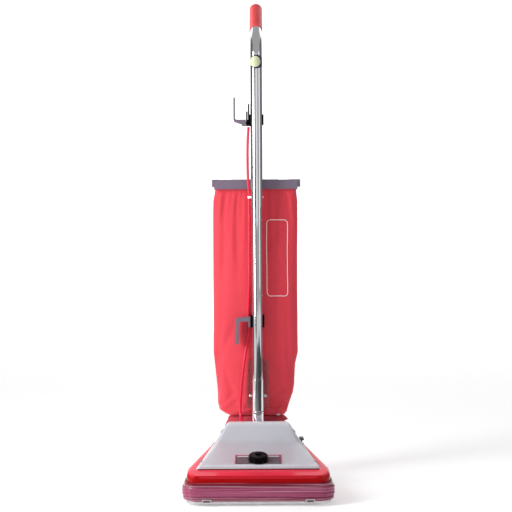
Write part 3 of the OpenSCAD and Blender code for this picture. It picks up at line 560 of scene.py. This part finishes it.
def keep_outline(bag, ring_count, rows, inset):
    """Stretches each ring sideways, so that its seams lie inset millimetres inside the bag's sections."""
    low, high = bag_sections[0][0], bag_sections[-1][0]
    for i in range(rows + 1):
        x0, x1 = section_at(bag_sections, low + (high - low) * i / rows)[:2]
        ring = bag.data.vertices[i * ring_count:(i + 1) * ring_count]
        left, right = min(v.co.x for v in ring), max(v.co.x for v in ring)
        goal_left, goal_right = tube_x + (x0 + inset) * mm, tube_x + (x1 - inset) * mm
        for vertex in ring:
            share = (vertex.co.x - left) / (right - left)
            vertex.co.x = goal_left + (goal_right - goal_left) * share


def crease(p, angle, centre, spread, depth):
    """Depth of one long shallow fold that crosses the bag's front at an angle."""
    across = (p[0] - centre[0]) * math.sin(angle) - (p[1] - centre[1]) * math.cos(angle)
    along = (p[0] - centre[0]) * math.cos(angle) + (p[1] - centre[1]) * math.sin(angle)
    return depth * math.exp(-(across / spread) ** 2) * math.exp(-(along / 0.11) ** 2)


def make_bag():
    ring_count, rows = 112, 120
    rings = bag_mesh(2.5, ring_count, rows)
    points = [p for ring in rings for p in ring]
    bag = add_object("filter_bag_cover", points, skin(rings), surfaces["bag_fabric"])
    pattern = bag.data.uv_layers.new(name="rest")
    for loop in bag.data.loops:
        p = points[loop.vertex_index]
        pattern.data[loop.index].uv = (p.x, p.z)
    # Without a seed, each run has other noise, and so other folds
    noise.seed_set(1)
    for vertex in bag.data.vertices:
        p = vertex.co
        vertex.co = p + 0.6 * mm * noise.noise_vector(p * 22)
    pinned = list(range(2 * ring_count)) + list(range((rows - 4) * ring_count, (rows + 1) * ring_count))
    simulate_bag(bag, pinned, 10 * mm)
    keep_outline(bag, ring_count, rows, -1.5)
    folds = [(1.15, (-0.100, 0.330), 0.010, 3.0 * mm), (1.9, (-0.080, 0.270), 0.009, 2.4 * mm),
             (0.9, (0.085, 0.700), 0.012, 2.2 * mm), (2.1, (0.060, 0.260), 0.010, 2.4 * mm),
             (1.4, (-0.095, 0.560), 0.012, 2.0 * mm), (0.6, (0.030, 0.215), 0.008, 2.0 * mm)]
    for vertex in bag.data.vertices:
        p = vertex.co
        outward = Vector((0, p.y - (tube_y + 68 * mm), 0)).normalized()
        side = 1 if p.y < tube_y + 68 * mm else -1
        depth = sum(crease((p.x * side, p.z), *fold) for fold in folds)
        held = min(1, max(0, (p.z - 0.178) / 0.02), max(0, (0.770 - p.z) / 0.03))
        vertex.co = p - outward * depth * held
    smooth = bag.modifiers.new("smooth", "SUBSURF")
    smooth.levels = smooth.render_levels = 1
    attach(bag, "handle")
    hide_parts("outer_bag")


# ------------------------------------------------------------------ boot and lead
# Height, centre and half widths of the boot, in millimetres from the tube's axis
boot_sections = [(112.4, -66, 20, 21.6, 20.6), (118, -64, 23, 24, 20), (124, -58, 31, 32, 22),
                 (136, -40, 50, 52, 36), (148, -14, 62, 74, 44), (159, 0, 64, 82, 41),
                 (166, -2, 63, 78, 38), (171.5, -3, 62, 72, 34)]


def make_boot():
    """Cloth boot that gathers into soft pleats above the duct and again under the bag."""
    count, rows = 128, 44
    rings = []
    for i in range(rows + 1):
        z = boot_sections[0][0] + (boot_sections[-1][0] - boot_sections[0][0]) * i / rows
        cx, cy, rx, ry = section_at(boot_sections, z)
        rise = i / rows
        pleat = 1.6 * (1 - rise) ** 2 * rise * 6 + 1.2 * rise ** 3
        ring = []
        for k in range(count):
            a = math.tau * k / count
            ripple = pleat * (0.5 * math.sin(17 * a + 3 * rise) + 0.3 * math.sin(29 * a - 5 * rise)) - 0.8
            ring.append(Vector((tube_x + (cx + (rx + ripple) * math.cos(a)) * mm,
                                tube_y + (cy + (ry + ripple) * math.sin(a)) * mm, z * mm)))
        rings.append(ring)
    boot = add_object("bag_boot_cloth", [p for ring in rings for p in ring], skin(rings),
                      surfaces["boot_fabric"])
    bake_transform(boot)
    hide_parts("bag_boot")


def make_tie_end():
    """White end of the tape that ties the boot, on the right under the bag."""
    outline = [(50, 26.5), (58, 26.5), (59, 28.5), (50, 28.5)]
    rings = [[(tube_x + x * mm, tube_y + y * mm, z * mm) for x, y in outline] for z in (174, 177.5)]
    tie = add_object("boot_tie_end", rings[0] + rings[1], skin(rings), surfaces["tie"], smooth=False)
    softened(tie, 0.5 * mm)
    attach(tie, "handle")


# Points on the lead's centre line, in millimetres from the tube's axis, as in the CAD
lead_points = [(-21, 4, 942), (-23, 5, 915), (-24, 6, 880), (-24, 7, 840), (-23, 8, 800),
               (-21, 8, 770), (-20.5, 8, 740), (-20.5, 9, 690), (-21, 10, 620), (-21.5, 11, 550),
               (-22.5, 13, 500), (-24, 17, 460), (-24, 18, 425), (-24, 16, 395), (-28, 13, 365),
               (-33, 10, 340), (-37, 8, 310), (-41, 7, 280), (-44, 6, 245), (-46, 5, 215),
               (-47, 3, 192), (-46, -3, 177), (-44, -13, 166), (-43, -21, 160)]


def make_lead():
    path = smooth_path([(tube_x + x * mm, tube_y + y * mm, z * mm) for x, y, z in lead_points], 6)
    lead = tube_along("motor_lead_jacket", path, 3.5 * mm, surfaces["lead_jacket"])
    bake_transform(lead)
    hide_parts("motor_lead")


# ------------------------------------------------------------------ the hood
# Along the machine in millimetres from the tube's axis: height of the hood's top and its half widths
hood_top = [(-247, 86), (-243, 92), (-115, 123), (-106, 129), (-80, 168), (-72, 172.5), (-34, 167),
            (-22, 160), (-14, 146)]
hood_shoulder = [(-247, 147), (-243, 149), (-115, 113), (-80, 86), (-72, 83), (-14, 80)]
hood_foot = [(-247, 150), (-243, 152), (-14, 111)]
hood_seam = [(-247, 80.9), (-30, 111.3), (-14, 113.3)]


def broken_line(points, x):
    """Value at x on the straight lines between points."""
    for (x0, a), (x1, b) in zip(points, points[1:]):
        if x <= x1:
            return a + (b - a) * (max(x, x0) - x0) / (x1 - x0)
    return points[-1][1]


def eased(points, x, reach):
    """The broken line's value at x, with its corners rounded over reach to either side."""
    low, high = points[0][0], points[-1][0]
    reach = min(reach, x - low, high - x)
    steps = 8
    near = [broken_line(points, x + reach * k / steps) for k in range(-steps, steps + 1)]
    return sum(near) / len(near)


def hood_ring(y, inset, drop):
    """Section across the hood at y: straight flanks and well rounded shoulders."""
    top = eased(hood_top, y, 7) - inset
    shoulder = eased(hood_shoulder, y, 12) - inset
    foot = eased(hood_foot, y, 12) - inset
    seam = broken_line(hood_seam, y) - drop
    r = min(13 if y > -235 else 4 + 9 * (y + 247) / 12, top - seam - 1)
    flank = [(foot + (shoulder - foot) * t, seam + (top - r - seam) * t) for t in (0, 0.08, 0.5, 0.92)]
    corner = [(shoulder - r + r * math.cos(a), top - r + r * math.sin(a))
              for a in (math.radians(7.5 * k) for k in range(13))]
    flat = [((shoulder - r) * (1 - k / 8), top) for k in range(1, 9)]
    right = flank + corner + flat
    return [Vector((tube_x + x * mm, tube_y + y * mm, z * mm))
            for x, z in right + [(-x, z) for x, z in reversed(right[:-1])]]


def cut_boxes(obj, boxes):
    """Cuts boxes, each (lowest corner, highest corner), out of a closed mesh."""
    for lo, hi in boxes:
        corners = [(x, y, z) for x in (lo[0], hi[0]) for y in (lo[1], hi[1]) for z in (lo[2], hi[2])]
        cutter = add_object("cutter", corners, [(0, 1, 3, 2), (4, 6, 7, 5), (0, 4, 5, 1), (2, 3, 7, 6),
                                                (0, 2, 6, 4), (1, 5, 7, 3)], surfaces["silver_paint"])
        cut = obj.modifiers.new("cut", "BOOLEAN")
        cut.operation = "DIFFERENCE"
        cut.solver = "EXACT"
        cut.object = cutter
        shown = obj.evaluated_get(bpy.context.evaluated_depsgraph_get())
        mesh = bpy.data.meshes.new_from_object(shown)
        obj.modifiers.remove(cut)
        obj.data = mesh
        bpy.data.objects.remove(cutter)


def make_hood():
    """Pressed and painted hood with rounded edges, open below, in the CAD hood's place."""
    front, back, wall, lip = -247, -14, 2.5, 3.0
    stations = [front + lip + (back - front - 2 * lip) * k / 56 for k in range(57)]
    outer = [hood_ring(front + lip * (1 - math.sin(a)), lip * (1 - math.cos(a)), 0)
             for a in (math.radians(90 - 15 * k) for k in range(6))]
    outer += [hood_ring(y, 0, 0) for y in stations]
    outer += [hood_ring(back - lip * (1 - math.sin(a)), lip * (1 - math.cos(a)), 0)
              for a in (math.radians(15 * k + 15) for k in range(6))]
    inner = [hood_ring(min(max(y, front + lip + wall), back - lip - wall), wall, 0) for y in stations]
    n = len(outer[0])
    verts = [p for ring in outer + inner for p in ring]
    faces = skin(outer, closed_ring=False, closed_ends=True)
    first = len(outer) * n
    faces += [tuple(first + i for i in quad) for quad in skin(inner, closed_ring=False, closed_ends=True)]
    hood = add_object("hood_shell", verts, faces, surfaces["silver_paint"])
    work = bmesh.new()
    work.from_mesh(hood.data)
    work.verts.ensure_lookup_table()
    # The rim that joins the two skins along the bottom
    edges = [e for e in work.edges if e.is_boundary]
    bmesh.ops.bridge_loops(work, edges=edges)
    bmesh.ops.recalc_face_normals(work, faces=work.faces)
    work.to_mesh(hood.data)
    work.free()
    slots = [((tube_x - 40 * mm, tube_y - 24 * mm, z * mm),
              (tube_x + 60 * mm, tube_y - 8 * mm, (z + 3.5) * mm)) for z in (118, 125, 132, 139)]
    cut_boxes(hood, slots)
    for polygon in hood.data.polygons:
        polygon.use_smooth = True
    hood.data.set_sharp_from_angle(angle=math.radians(40))
    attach(hood, "base")
    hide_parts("hood")


# ------------------------------------------------------------------ smaller pieces
def make_screws():
    """Pan-head screws with cross recesses, where the CAD has plain heads."""
    lo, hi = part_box("socket_screws")
    z = (lo[2] + hi[2]) / 2
    heads = []
    for x in (lo[0] + 4 * mm, hi[0] - 4 * mm):
        profile = [(3.0 * mm, 0.2 * mm), (3.0 * mm, 4 * mm), (1.6 * mm, 4 * mm), (0.7 * mm, 3.3 * mm),
                   (0.1 * mm, 2.0 * mm), (0.0, 1.6 * mm), (0.9 * mm, 0.9 * mm), (1.6 * mm, 0.2 * mm)]
        head = lathe("socket_screw_head", profile, (x, lo[1], z), (0, 1, 0), surfaces["chrome"], 24)
        heads.append(head)
        shank = lathe("socket_screw_shank", [(2.9 * mm, 2 * mm), (8.2 * mm, 2 * mm), (8.2 * mm, 3.5 * mm),
                                             (11 * mm, 3.4 * mm)], (x, lo[1], z), (0, 1, 0),
                      surfaces["chrome"], 6)
        heads.append(shank)
    for head in heads:
        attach(head, "handle")
    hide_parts("socket_screws")


def panel_place(x, along, up):
    """A point on the hood's sloping panel: across it, up its slope from the knob, and above it."""
    slope = math.atan(31 / 128)
    knob = Vector((tube_x, tube_y - 220 * mm, 97.57 * mm))
    return knob + Vector((x, along * math.cos(slope) - up * math.sin(slope),
                          along * math.sin(slope) + up * math.cos(slope)))


def flat_bar(corners, thickness):
    """A thin bar on the panel between two (x, along) corners."""
    (x0, a0), (x1, a1) = corners
    outline = [(x0, a0), (x1, a0), (x1, a1), (x0, a1)]
    bottom = [panel_place(x * mm, a * mm, 0.62 * mm) for x, a in outline]
    top = [panel_place(x * mm, a * mm, (0.62 + thickness) * mm) for x, a in outline]
    faces = [(0, 1, 2, 3), (4, 5, 6, 7), (0, 1, 5, 4), (1, 2, 6, 5), (2, 3, 7, 6), (3, 0, 4, 7)]
    return bottom + top, faces


def make_bars(name, bars, surface):
    verts, faces = [], []
    for bar in bars:
        points, quads = flat_bar(bar, 0.12)
        faces += [tuple(i + len(verts) for i in quad) for quad in quads]
        verts += points
    made = add_object(name, verts, faces, surface, smooth=False)
    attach(made, "base")


def make_decal_print():
    """Plain printed scale: a white line, rows of fine grey lines and pink borders, with no words."""
    pink = plastic("decal_pink", (0.75, 0.10, 0.20), 0.3, 300, 0.05)
    white = plastic("decal_white", (0.75, 0.75, 0.78), 0.3, 300, 0.05)
    grey = plastic("decal_grey", (0.30, 0.29, 0.33), 0.3, 300, 0.05)
    make_bars("decal_borders", [((-58, -19), (-55.5, 34)), ((55.5, -19), (58, 34)),
                                ((-55.5, 31.5), (55.5, 34))], pink)
    make_bars("decal_headings", [((-52, 22), (-24, 27)), ((24, 22), (52, 27))], white)
    lines = [((x, a), (x + 25, a + 1.2)) for x in (-52, 27) for a in (-14, -8, -2, 4, 10, 16)]
    make_bars("decal_lines", lines, grey)


def make_bristles():
    """Nylon tufts set in four stepped rows, in place of the CAD's solid strips."""
    lo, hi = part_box("bristle_strips")
    axis_y, axis_z = (lo[1] + hi[1]) / 2, (lo[2] + hi[2]) / 2
    verts, faces = [], []
    strips = enumerate((11, 40, 79, 108))
    for (step, start), sign, row, tuft, hair in product(strips, (-1, 1), range(4), range(7), range(7)):
        x = tube_x + sign * (start + 2 + 4 * tuft) * mm
        a = math.radians(90 * row + 9 * step) + 0.05 * math.sin(hair * 2.4)
        spread = 1.1 * mm * math.cos(hair * 2.4)
        across = Vector((0, math.cos(a), math.sin(a)))
        out = Vector((0, -math.sin(a), math.cos(a)))
        foot = Vector((x + spread, axis_y, axis_z)) + 16.5 * mm * out
        tip = Vector((x + 1.7 * spread, axis_y, axis_z)) + 26.8 * mm * out
        n = len(verts)
        for p, r in ((foot, 0.5 * mm), (tip, 0.25 * mm)):
            verts += [p + r * across, p + Vector((r, 0, 0)), p - r * across, p - Vector((r, 0, 0))]
        faces += [(n + i, n + (i + 1) % 4, n + 4 + (i + 1) % 4, n + 4 + i) for i in range(4)]
        faces.append((n + 4, n + 5, n + 6, n + 7))
        faces.append((n, n + 1, n + 2, n + 3))
    tufts = add_object("bristle_tufts", verts, faces, surfaces["bristle"], smooth=False)
    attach(tufts, "brush")
    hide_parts("bristle_strips")


def make_label():
    """Thin printed label that follows the tube, also where the tube starts to bend."""
    lo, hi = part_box("round_label")
    centre_z, radius = (lo[2] + hi[2]) / 2, (hi[2] - lo[2]) / 2
    tube_r, bend_z, bend_r = 15.95 * mm, 1120 * mm, 90 * mm
    rows = 28
    verts, faces = [], []

    def add_skin(lift):
        first = len(verts)
        for i in range(rows + 1):
            z = centre_z + radius * (2 * i / rows - 1) * 0.999
            half = min(math.asin(min(1, math.sqrt(max(radius ** 2 - (z - centre_z) ** 2, 0)) / tube_r)), 1.3)
            back = bend_r - math.sqrt(bend_r ** 2 - max(0, z - bend_z) ** 2)
            for k in range(rows + 1):
                a = half * (2 * k / rows - 1)
                verts.append((tube_x + (tube_r + lift) * math.sin(a),
                              tube_y + back - (tube_r + lift) * math.cos(a), z))
        return first

    n = rows + 1
    inner, outer = add_skin(0.1 * mm), add_skin(0.45 * mm)
    for first in (inner, outer):
        corners = [first + i * n + k for i in range(rows) for k in range(rows)]
        faces += [(c, c + 1, c + n + 1, c + n) for c in corners]
    for i in range(rows):
        for side in (0, rows):
            faces.append((inner + i * n + side, inner + (i + 1) * n + side,
                          outer + (i + 1) * n + side, outer + i * n + side))
    label = add_object("label_film", verts, faces, surfaces["label"])
    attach(label, "handle")
    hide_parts("round_label")


def make_gap_shade_strip():
    """Black strip of painted shade under the hood's front edge, standing in for the shadow in the gap there.
    """
    y = tube_y - 247.4 * mm
    z = 80.9 * mm
    half = 149 * mm
    verts = []
    steps = 24
    for i in range(steps + 1):
        x = tube_x + half * (2 * i / steps - 1)
        for dy, dz in ((0, 0), (0.35, 0.2), (0.35, 1.5), (0, 1.8), (-0.4, 1.4), (-0.4, 0.4)):
            verts.append((x, y + dy * mm, z + dz * mm))
    rings = [verts[6 * i:6 * i + 6] for i in range(steps + 1)]
    shade_strip = add_object("hood_gap_shade_strip", verts, skin(rings), surfaces["rubber"])
    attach(shade_strip, "base")


# ------------------------------------------------------------------ light and ground
def area_light(name, place, aim, size, power):
    data = bpy.data.lights.new(name, "AREA")
    data.shape = "RECTANGLE"
    data.size, data.size_y = size
    data.energy = power
    lamp = bpy.data.objects.new(name, data)
    lamp.location = place
    lamp.rotation_euler = (Vector(aim) - Vector(place)).to_track_quat("-Z", "Y").to_euler()
    bpy.context.scene.collection.objects.link(lamp)


def plain(name, color, glow=0.0):
    s = Surface(name, color, 0.8)
    s.tint(s.span(s.noise(3, 3), 0.4, 0.7, 0, 0.1), tuple(c * 0.97 for c in color))
    if glow:
        s.shader.inputs["Emission Color"].default_value = (1, 1, 1, 1)
        s.shader.inputs["Emission Strength"].default_value = glow
    return s


def rectangle(name, corner, across, up, surface):
    """A flat rectangle with its sides across and up from one corner."""
    a, b, c = Vector(corner), Vector(across), Vector(up)
    return add_object(name, [a, a + b, a + b + c, a + c], [(0, 1, 2, 3)], surface)


def make_card(name, corner, across, up, surface):
    """A card that shows only in reflections, as the dark and pale lines down the chrome."""
    card = rectangle(name, corner, across, up, surface)
    card.visible_camera = False
    card.visible_diffuse = False
    card.visible_shadow = False


def make_studio():
    floor = rectangle("floor", (-9, -9, 0), (18, 0, 0), (0, 16, 0),
                      plain("studio_white", (0.93, 0.93, 0.93), 0.29))
    backdrop = rectangle("backdrop", (-9, 6, -1), (18, 0, 0), (0, 0, 10),
                         plain("backdrop_white", (0.9, 0.9, 0.9), 0.8))
    black = plain("card_black", (0.03, 0.03, 0.035))
    grey = plain("card_grey", (0.16, 0.16, 0.165))
    pale = plain("card_pale", (0.4, 0.4, 0.4), 0.5)
    make_card("tall_card", (-4.8, -4.6, -0.2), (3.1, 0, 0), (0, 0, 3.6), black)
    make_card("upper_card", (-1.5, -4.6, 0.8), (3.0, 0, 0), (0, 0, 2.6), pale)
    make_card("front_card", (-1.6, -4.5, 0.004), (3.2, 0, 0), (0, 4.2, 0), grey)
    make_card("right_card", (0.4, -4.5, 0.006), (3.2, 0, 0), (0, 4.1, 0), black)
    for x in (-2.6, 2.6):
        make_card("side_card", (x, -0.4, -0.2), (0, 4.9, 0), (0, 0, 3.4), grey)
    world = bpy.data.worlds.new("world")
    bpy.context.scene.world = world
    world.use_nodes = True
    background = world.node_tree.nodes["Background"]
    background.inputs["Color"].default_value = (0.98, 0.98, 1, 1)
    background.inputs["Strength"].default_value = 0.40
    area_light("key", (-1.5, -0.85, 1.1), (0, 0, 0.5), (0.6, 1.6), 36)
    area_light("fill", (1.9, -1.2, 1.3), (0, 0, 0.6), (0.5, 1.8), 3)


# ------------------------------------------------------------------ dress the frame
rounded = {"nozzle_housing": (2.0 * mm, 3), "bag_cap": (1.6 * mm, 3),
           "height_knob": (0.8 * mm, 2), "upper_hook": (1.2 * mm, 2), "lower_hook": (1.2 * mm, 2),
           "release_pedal": (1.0 * mm, 2), "furniture_guard": (0.5 * mm, 2), "switch_box": (2.0 * mm, 3),
           "upper_hook_base": (0.6 * mm, 2), "handle_bail": (1.5 * mm, 2), "bail_brackets": (0.8 * mm, 2)}

make_camera()
for subpart in frame["record"]["subparts"]:
    node = nodes[subpart["node"]]
    surface = surfaces[subpart["material_slot"]]
    if not node.material_slots:
        node.data.materials.append(surface.material)
    for slot in node.material_slots:
        slot.material = surface.material
for name, (width, segments) in rounded.items():
    softened(nodes[name], width, segments)

make_hood()
make_bag()
make_boot()
make_tie_end()
make_lead()
make_screws()
make_decal_print()
make_bristles()
make_label()
make_gap_shade_strip()
make_studio()
